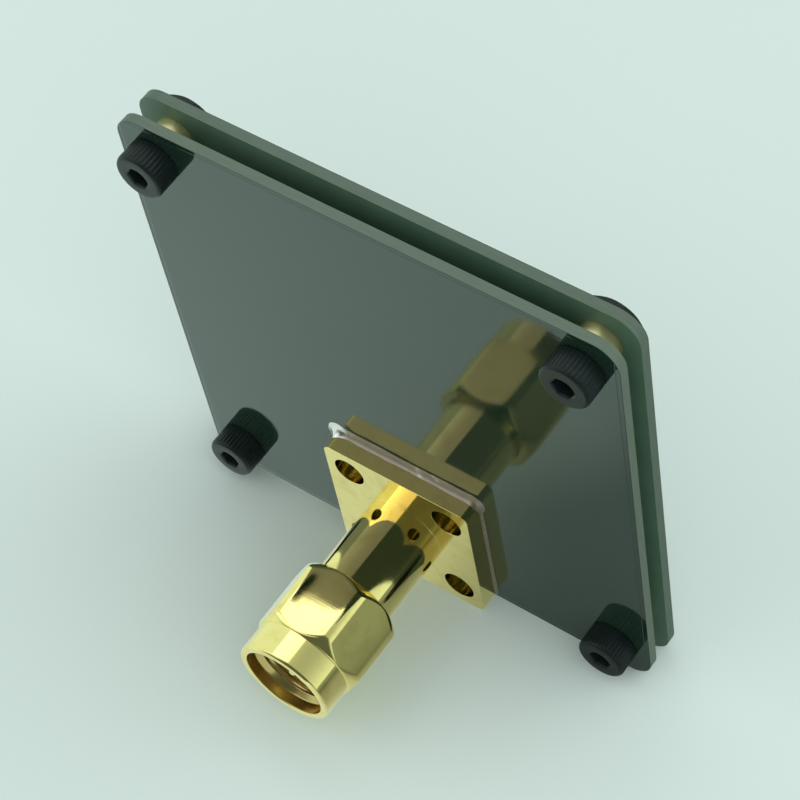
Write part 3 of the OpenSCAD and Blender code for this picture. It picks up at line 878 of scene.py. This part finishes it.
class ANTENNA_OT_corner_screws(Operator):
    """Make the four socket-head screws with grip ribs, sockets and threaded tips"""

    bl_idname = "antenna.corner_screws"
    bl_label = "Make corner screws"

    def execute(self, context):
        settings = context.scene.antenna_fasteners
        top, seat, tip = SCREWS_LOW.y, FRONT_LOW.y, SCREWS_HIGH.y
        points_per_rib, rib_flat = 6, 0.375
        point_depth, shoulder_depth, shoulder_share = 0.2 * MM, 0.12 * MM, 0.6
        lead_width, lead_depth, seat_bevel = 0.05 * MM, 0.1 * MM, 0.12 * MM
        round_in, round_down, ribs_down = 0.3, 0.6, 1.4
        thread_length, thread_depth, tip_bevel = 1.9 * MM, 0.2 * MM, 0.15 * MM
        theta = np.linspace(0, 2 * math.pi, points_per_rib * settings.ribs, endpoint=False)
        head, chamfer, half_socket = settings.head_radius, settings.head_chamfer, settings.socket_width / 2
        socket = hex_radius(theta, half_socket)
        socket_round = half_socket / math.cos(FLAT_STEP / 2) + lead_width
        floor = top + settings.socket_depth
        groove = np.abs((theta * settings.ribs / (2 * math.pi)) % 1 - 0.5) * 2
        ribbed = head - settings.rib_depth * np.clip((groove - rib_flat) / (1 - rib_flat), 0, 1)
        thread_start = tip - thread_length
        head_wall = profile_rows(theta, [
            (0.0, floor + point_depth),
            (shoulder_share * half_socket, floor + shoulder_depth),
            (socket, floor),
            (socket, top + lead_depth),
            (socket_round, top),
            (head - chamfer, top),
            (head - round_in * chamfer, top + round_down * chamfer),
            (ribbed, top + ribs_down * chamfer),
            (ribbed, seat - seat_bevel),
            (head - settings.rib_depth, seat),
            (settings.screw_radius, seat),
            (settings.screw_radius, thread_start),
        ])
        thread = thread_rows(theta, thread_start, tip - tip_bevel, settings.screw_radius, -thread_depth,
                             settings.screw_pitch, rows=36)
        end = profile_rows(theta, [(settings.screw_radius - thread_depth, tip), (0.0, tip)])
        section = np.concatenate([eased(head_wall, reach=0.04 * MM, steps=3), thread, end])
        points = turned_points(theta, section[..., 0], section[..., 1])
        places = corner_places(SCREWS_LOW, SCREWS_HIGH, head, head)
        material = black_finish("screw_black", settings)
        put_piece("corner_screws_ribbed", [points + place for place in places], False, material, "antenna",
                  "corner_screws")
        return {"FINISHED"}


class ANTENNA_OT_corner_nuts(Operator):
    """Make the four thin hex nuts with chamfered corners and countersunk holes"""

    bl_idname = "antenna.corner_nuts"
    bl_label = "Make corner nuts"

    def execute(self, context):
        settings = context.scene.antenna_fasteners
        face_inset, hole_clearance, countersink = 0.06 * MM, 0.01 * MM, 0.16 * MM
        front, back = CORNER_NUTS_LOW.y, CORNER_NUTS_HIGH.y
        apothem = settings.nut_width / 2
        corner = apothem / math.cos(FLAT_STEP / 2)
        theta = hex_angles(apothem, corner, per_flat=21, per_corner=1)
        hexagon = hex_radius(theta, apothem)
        face = apothem - face_inset
        slope = settings.nut_chamfer * (hexagon - face) / (corner - face)
        hole = settings.screw_radius + hole_clearance
        wall = profile_rows(theta, [
            (hole, front),
            (face, front),
            (hexagon, front + slope),
            (hexagon, back - slope),
            (face, back),
            (hole + countersink, back),
            (hole, back - countersink),
        ])
        section = eased(wall, reach=0.04 * MM, steps=4)
        places = corner_places(SCREWS_LOW, SCREWS_HIGH, settings.head_radius, settings.head_radius)
        points = turned_points(theta + settings.nut_turn, section[..., 0], section[..., 1])
        material = black_finish("nut_black", settings)
        put_piece("corner_nuts_chamfered", [points + place for place in places], True, material, "antenna",
                  "corner_nuts")
        return {"FINISHED"}


class ANTENNA_OT_spacers(Operator):
    """Give the four spacers their turned brass"""

    bl_idname = "antenna.spacers"
    bl_label = "Finish spacers"

    def execute(self, context):
        material = brass_finish("spacer_brass", context.scene.antenna_fasteners)
        dress(material, "spacer_top_left", "spacer_top_right", "spacer_bottom_left", "spacer_bottom_right")
        return {"FINISHED"}


class ANTENNA_OT_solder(Operator):
    """Make the uneven solder bead round the flange and the solder cone at the feed probe"""

    bl_idname = "antenna.solder"
    bl_label = "Make solder"

    def execute(self, context):
        settings = context.scene.antenna_solder
        # The solder's material carries a painted highlight at the flange's upper left corner.
        material = solder_finish("solder_and_highlight", settings)
        put_piece("flange_solder_bead", [self.bead(settings)], False, material, "antenna", "flange_solder")
        put_piece("feed_solder_cone", [self.cone(settings)], False, material, "antenna", "feed_solder")
        return {"FINISHED"}

    @staticmethod
    def bead(settings):
        """Hollow fillet carried up one side of the flange, over its top and down the other side.

        Along the path, s in millimetres, its width and height are the bead's sizes times the sum of a mean,
        a share of lumps, which are a sum of sines, and a blob exp(-(s - corner)^2 / spread) at each upper
        corner. They shrink to a third past the last corner and to nothing at both ends. Across the path the
        fillet is the curve (1 - t)^2 + t (1 - t) / 2 along the board and t^2 + t (1 - t) / 2 up the flange.
        """
        per_side, per_arc, per_fillet = 110, 24, 12
        mean, lump_share, height_shift = 1.25, 0.12, 9
        first_blob, last_blob, blob_spread = 0.85, 0.25, 0.5
        end_length, last_drop, drop_length = 0.5, 0.65, 1.0
        hollow, tuck = 0.5, -0.03
        half, bend, margin = settings.flange_half, settings.flange_corner, settings.bead_margin
        rise = np.linspace(-half + margin, half - bend, per_side)
        arc = np.linspace(math.pi, math.pi / 2, per_arc)[1:-1]
        run = np.linspace(-half + bend, half - bend, per_side)[:per_side // 2]
        # Rows of the path's X and Z and of its outward direction's X and Z
        up_side = np.array([0 * rise - half, rise, 0 * rise - 1, 0 * rise])
        round_corner = np.array([
            -half + bend + bend * np.cos(arc), half - bend + bend * np.sin(arc), np.cos(arc), np.sin(arc)])
        over_top = np.array([run, 0 * run + half, 0 * run, 0 * run + 1])
        first_half = np.concatenate([up_side, round_corner, over_top], axis=1)
        mirror = np.array([[-1], [1], [-1], [1]])
        x, z, out_x, out_z = np.concatenate([first_half, mirror * first_half[:, ::-1]], axis=1)
        s = np.concatenate([[0.0], np.cumsum(np.hypot(np.diff(x), np.diff(z)))]) / MM
        from_end = s[-1] - s
        # Length of the path to the middle of its first bend
        corner = (half - bend + half - margin + bend * math.pi / 4) / MM
        lumps = sum_of_sines(s, ((0.6, 0.9, 0.4), (0.3, 2.3, 1.1), (0.1, 5.1, 0.0)))
        blob = first_blob * np.exp(-((s - corner) ** 2) / blob_spread)
        blob += last_blob * np.exp(-((from_end - corner) ** 2) / blob_spread)
        ends = np.clip(np.minimum(s, from_end) / end_length, 0, 1) ** 0.5
        share = ends * (1 - last_drop * np.clip((corner - from_end) / drop_length, 0, 1))
        width = settings.bead_width * (mean + lump_share * lumps + blob) * share
        height = settings.bead_height * (mean + lump_share * np.roll(lumps, height_shift) + blob) * share
        t = np.linspace(0, 1, per_fillet)
        across = np.concatenate([(1 - t) ** 2 + hollow * t * (1 - t), [tuck]])
        up = np.concatenate([t ** 2 + hollow * t * (1 - t), [tuck]])
        reach = width[:, None] * across
        lift = height[:, None] * up
        bead_x = x[:, None] + out_x[:, None] * reach
        bead_z = z[:, None] + out_z[:, None] * reach
        return np.stack([bead_x, FLANGE_BACK - lift, bead_z], axis=-1)

    @staticmethod
    def cone(settings):
        """Hollow cone round the feed probe: radius tail + (base - tail) (1 - t)^2 with a ripple of sines."""
        around, rows = 96, 16
        base, tail = (CONE_HIGH.x - CONE_LOW.x) / 2, settings.tail_radius
        low, high = CONE_LOW.y, CONE_HIGH.y
        theta = np.linspace(0, 2 * math.pi, around, endpoint=False)
        ripple = 1 + sum_of_sines(theta, ((0.05, 2, 0.6), (0.03, 5, 0.0)))
        t = np.linspace(0, 1, rows)[:, None]
        slope = tail + (base - tail) * (1 - t) ** 2 * ripple
        pole = 0 * theta[None]
        radius = np.concatenate([pole, slope, pole])
        depth = np.concatenate([low + pole, low + (high - low) * t + pole, high + pole])
        return turned_points(theta, radius, depth)


class ANTENNA_OT_stage(Operator):
    """Build the pale floor, the soft light and the camera"""

    bl_idname = "antenna.stage"
    bl_label = "Build stage"

    def execute(self, context):
        settings = context.scene.antenna_stage
        context.scene.view_settings.view_transform = "Standard"
        self.floor(context, settings)
        self.room(context, settings)
        aim = settings.lamp_aim
        self.lamp(context, "key_lamp", settings.key_place, aim, settings.key_size, settings.key_power)
        self.lamp(context, "top_lamp", settings.top_place, aim, settings.top_size, settings.top_power)
        self.camera(context, settings)
        return {"FINISHED"}

    @staticmethod
    def floor(context, settings):
        """Square floor under the boards' lower edge."""
        half, level = settings.floor_half, FRONT_LOW.z
        corners = [(-half, -half, level), (half, -half, level), (half, half, level), (-half, half, level)]
        mesh = bpy.data.meshes.new("floor")
        mesh.from_pydata(corners, [], [(0, 1, 2, 3)])
        mesh.materials.append(floor_finish("pale_floor", settings))
        floor = bpy.data.objects.new("floor", mesh)
        context.scene.collection.objects.link(floor)

    @staticmethod
    def room(context, settings):
        """Light from all round, a plain backdrop for the camera, and a room for shiny surfaces to show.

        The cosine to light_side sets how strong the light is, and the one to dark_side how dark the room.
        """
        dark_start, dark_full = 0.1, 0.75
        light_start, light_full = 0.1, 0.9
        world = bpy.data.worlds.new("room")
        context.scene.world = world
        room = NodeTree(world)
        room.tree.nodes.clear()
        direction = room.node("ShaderNodeTexCoord").outputs["Generated"]
        camera, mirrored = room.ray_shares()
        dark = room.spread(room.towards(direction, settings.dark_side), dark_start, dark_full)
        shown = room.mix(dark, settings.bright_colour, settings.dark_colour)
        colour = room.mix(camera, shown, settings.backdrop_colour)
        seen = room.node("ShaderNodeBackground", {"Color": colour, "Strength": 1.0})
        strength = room.spread(room.towards(direction, settings.light_side), light_start, light_full,
                               to_low=settings.room_light, to_high=settings.side_light)
        tint = room.colour(settings.light_colour)
        light = room.node("ShaderNodeBackground", {"Color": tint, "Strength": strength})
        share = room.math("MAXIMUM", camera, mirrored)
        choice = room.node("ShaderNodeMixShader", {0: share, 1: light.outputs[0], 2: seen.outputs[0]})
        room.node("ShaderNodeOutputWorld", {0: choice.outputs[0]})

    @staticmethod
    def lamp(context, name, place, aim, size, power):
        """Square soft lamp at its place, turned to its aim."""
        light = bpy.data.lights.new(name, "AREA")
        light.shape = "SQUARE"
        light.size = size
        light.energy = power
        lamp = bpy.data.objects.new(name, light)
        lamp.location = place
        lamp.rotation_euler = (Vector(aim) - Vector(place)).to_track_quat("-Z", "Y").to_euler()
        context.scene.collection.objects.link(lamp)

    @staticmethod
    def camera(context, settings):
        """Camera at its place, looking at its aim, with the picture's upper edge towards camera_up."""
        lens = bpy.data.cameras.new("camera")
        lens.lens = settings.lens
        lens.clip_start = settings.nearest
        camera = bpy.data.objects.new("camera", lens)
        place = Vector(settings.camera_place)
        back = (place - Vector(settings.camera_aim)).normalized()
        right = Vector(settings.camera_up).cross(back).normalized()
        turn = Matrix((right, back.cross(right), back)).transposed()
        camera.matrix_world = Matrix.Translation(place) @ turn.to_4x4()
        context.scene.collection.objects.link(camera)
        context.scene.camera = camera


class ANTENNA_PT_panel(Panel):
    """Lists the steps that finish the antenna"""

    bl_idname = "ANTENNA_PT_panel"
    bl_label = "Antenna"
    bl_space_type = "VIEW_3D"
    bl_region_type = "UI"
    bl_category = "Antenna"

    def draw(self, context):
        for step in STEPS:
            self.layout.operator(step.bl_idname)


SETTINGS = {
    "antenna_boards": BoardSettings,
    "antenna_plug": PlugSettings,
    "antenna_fasteners": FastenerSettings,
    "antenna_solder": SolderSettings,
    "antenna_stage": StageSettings,
}
STEPS = (
    ANTENNA_OT_boards,
    ANTENNA_OT_plug,
    ANTENNA_OT_coupling_nut,
    ANTENNA_OT_corner_screws,
    ANTENNA_OT_corner_nuts,
    ANTENNA_OT_spacers,
    ANTENNA_OT_solder,
    ANTENNA_OT_stage,
)


def register():
    """Registers the classes and puts the settings on the scene."""
    for kind in (*SETTINGS.values(), *STEPS, ANTENNA_PT_panel):
        bpy.utils.register_class(kind)
    for name, kind in SETTINGS.items():
        setattr(bpy.types.Scene, name, PointerProperty(type=kind))


def unregister():
    """Takes the settings off the scene and unregisters the classes."""
    for name in SETTINGS:
        delattr(bpy.types.Scene, name)
    for kind in reversed((*SETTINGS.values(), *STEPS, ANTENNA_PT_panel)):
        bpy.utils.unregister_class(kind)


def main():
    """Runs every step in order."""
    register()
    bpy.ops.antenna.boards()
    bpy.ops.antenna.plug()
    bpy.ops.antenna.coupling_nut()
    bpy.ops.antenna.corner_screws()
    bpy.ops.antenna.corner_nuts()
    bpy.ops.antenna.spacers()
    bpy.ops.antenna.solder()
    bpy.ops.antenna.stage()


if __name__ == "__main__":
    main()
